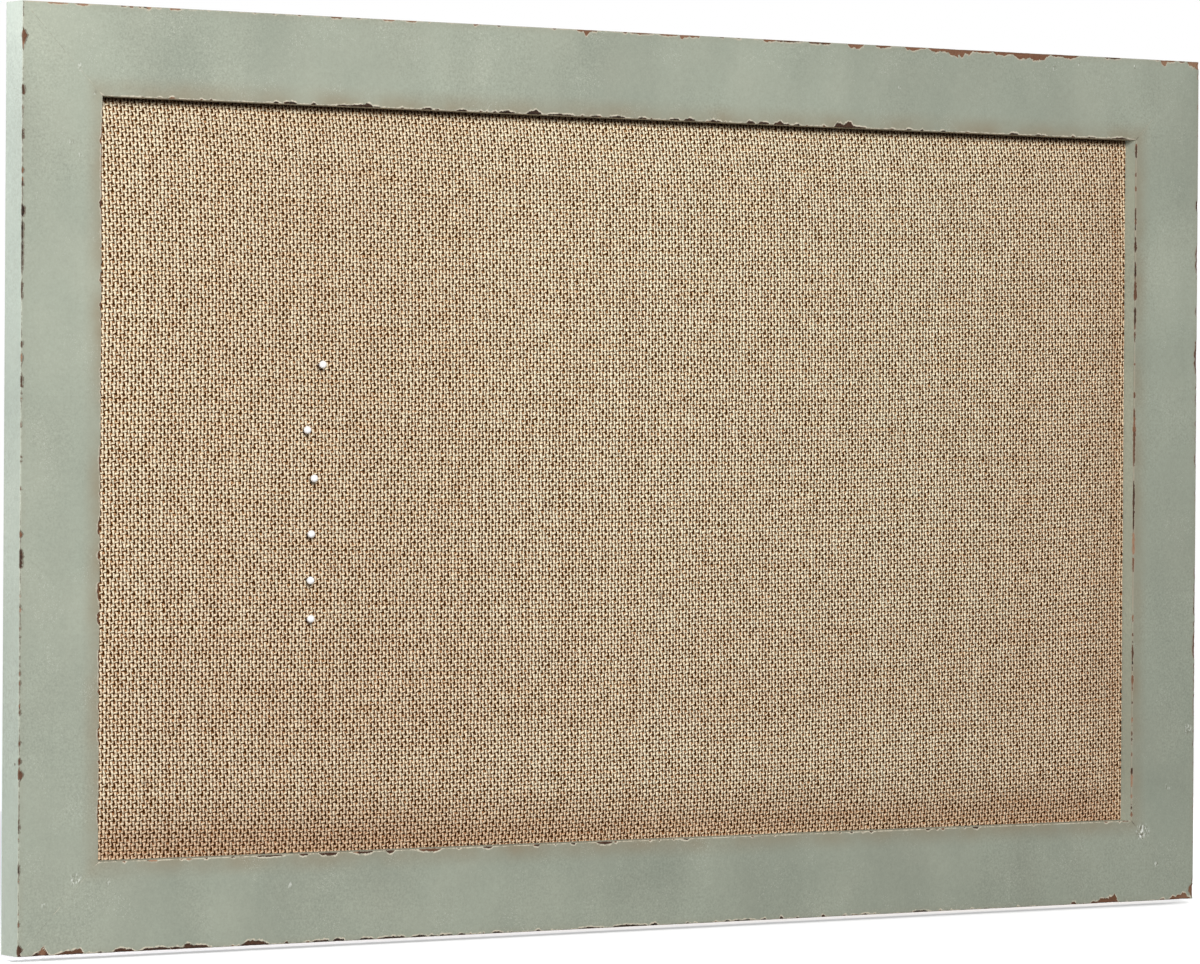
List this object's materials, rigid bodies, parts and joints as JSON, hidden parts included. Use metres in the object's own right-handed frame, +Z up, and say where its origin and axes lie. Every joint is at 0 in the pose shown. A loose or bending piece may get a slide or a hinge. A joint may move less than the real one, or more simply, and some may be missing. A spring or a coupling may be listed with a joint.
{
  "type": "bulletin board",
  "caption": "Wall-hung bulletin board: padded burlap over cork in a mitred, distressed sage-green wooden frame, with ball-headed map pins that pull out and hanging rings that swing.",
  "frame": {"origin": "On the wall plane, midway between the two points where the hanging rings bear on their hooks", "axes": "+X to the right as seen from the front, +Y towards the wall, +Z up"},
  "size_m": [0.812, 0.0237, 0.508],
  "materials": {
    "painted_wood": "satin sage-green paint, worn through to brown wood along the arrises",
    "burlap": "natural jute burlap in plain weave, matt",
    "padding": "off-white polyester wadding, matt",
    "cork": "agglomerated cork, matt",
    "hardboard": "brown hardboard, smooth side out",
    "plain_steel": "bright drawn or rolled steel",
    "plated_steel": "nickel-plated steel",
    "bumper_rubber": "matt black rubber",
    "white_plastic": "glossy white moulded plastic"
  },
  "bodies": {
    "root": {"backing_board": "hardboard", "burlap_cover": "burlap", "cork_sheet": "cork", "frame_bottom_rail": "painted_wood", "frame_left_stile": "painted_wood", "frame_right_stile": "painted_wood", "frame_top_rail": "painted_wood", "hanger_screw_left_lower": "plated_steel", "hanger_screw_left_upper": "plated_steel", "hanger_screw_right_lower": "plated_steel", "hanger_screw_right_upper": "plated_steel", "hanger_strap_left": "plated_steel", "hanger_strap_right": "plated_steel", "mitre_nail_bottom_left_inner": "plain_steel", "mitre_nail_bottom_left_outer": "plain_steel", "mitre_nail_bottom_right_inner": "plain_steel", "mitre_nail_bottom_right_outer": "plain_steel", "mitre_nail_top_left_inner": "plain_steel", "mitre_nail_top_left_outer": "plain_steel", "mitre_nail_top_right_inner": "plain_steel", "mitre_nail_top_right_outer": "plain_steel", "padding_sheet": "padding", "retaining_point_bottom_rail_1": "plain_steel", "retaining_point_bottom_rail_2": "plain_steel", "retaining_point_bottom_rail_3": "plain_steel", "retaining_point_bottom_rail_4": "plain_steel", "retaining_point_left_stile_1": "plain_steel", "retaining_point_left_stile_2": "plain_steel", "retaining_point_right_stile_1": "plain_steel", "retaining_point_right_stile_2": "plain_steel", "retaining_point_top_rail_1": "plain_steel", "retaining_point_top_rail_2": "plain_steel", "retaining_point_top_rail_3": "plain_steel", "retaining_point_top_rail_4": "plain_steel", "wall_bumper_left": "bumper_rubber", "wall_bumper_right": "bumper_rubber"},
    "left_hanging_ring": {"hanging_ring_left": "plated_steel"},
    "right_hanging_ring": {"hanging_ring_right": "plated_steel"},
    "map_pin_1": {"map_pin_ball_1": "white_plastic", "map_pin_needle_1": "plain_steel"},
    "map_pin_2": {"map_pin_ball_2": "white_plastic", "map_pin_needle_2": "plain_steel"},
    "map_pin_3": {"map_pin_ball_3": "white_plastic", "map_pin_needle_3": "plain_steel"},
    "map_pin_4": {"map_pin_ball_4": "white_plastic", "map_pin_needle_4": "plain_steel"},
    "map_pin_5": {"map_pin_ball_5": "white_plastic", "map_pin_needle_5": "plain_steel"},
    "map_pin_6": {"map_pin_ball_6": "white_plastic", "map_pin_needle_6": "plain_steel"}
  },
  "joints": [
    {"name": "left_ring_swing", "type": "hinge", "parent": "root", "child": "left_hanging_ring", "pos_m": [-0.3865, -0.0027, -0.011], "axis": [-1, 0, 0], "range_deg": [-5, 180]},
    {"name": "right_ring_swing", "type": "hinge", "parent": "root", "child": "right_hanging_ring", "pos_m": [0.3865, -0.0027, -0.011], "axis": [-1, 0, 0], "range_deg": [-5, 180]},
    {"name": "map_pin_1_pull", "type": "slide", "parent": "root", "child": "map_pin_1", "axis": [0, -1, 0], "range_m": [0, 0.03]},
    {"name": "map_pin_2_pull", "type": "slide", "parent": "root", "child": "map_pin_2", "axis": [0, -1, 0], "range_m": [0, 0.03]},
    {"name": "map_pin_3_pull", "type": "slide", "parent": "root", "child": "map_pin_3", "axis": [0, -1, 0], "range_m": [0, 0.03]},
    {"name": "map_pin_4_pull", "type": "slide", "parent": "root", "child": "map_pin_4", "axis": [0, -1, 0], "range_m": [0, 0.03]},
    {"name": "map_pin_5_pull", "type": "slide", "parent": "root", "child": "map_pin_5", "axis": [0, -1, 0], "range_m": [0, 0.03]},
    {"name": "map_pin_6_pull", "type": "slide", "parent": "root", "child": "map_pin_6", "axis": [0, -1, 0], "range_m": [0, 0.03]}
  ]
}
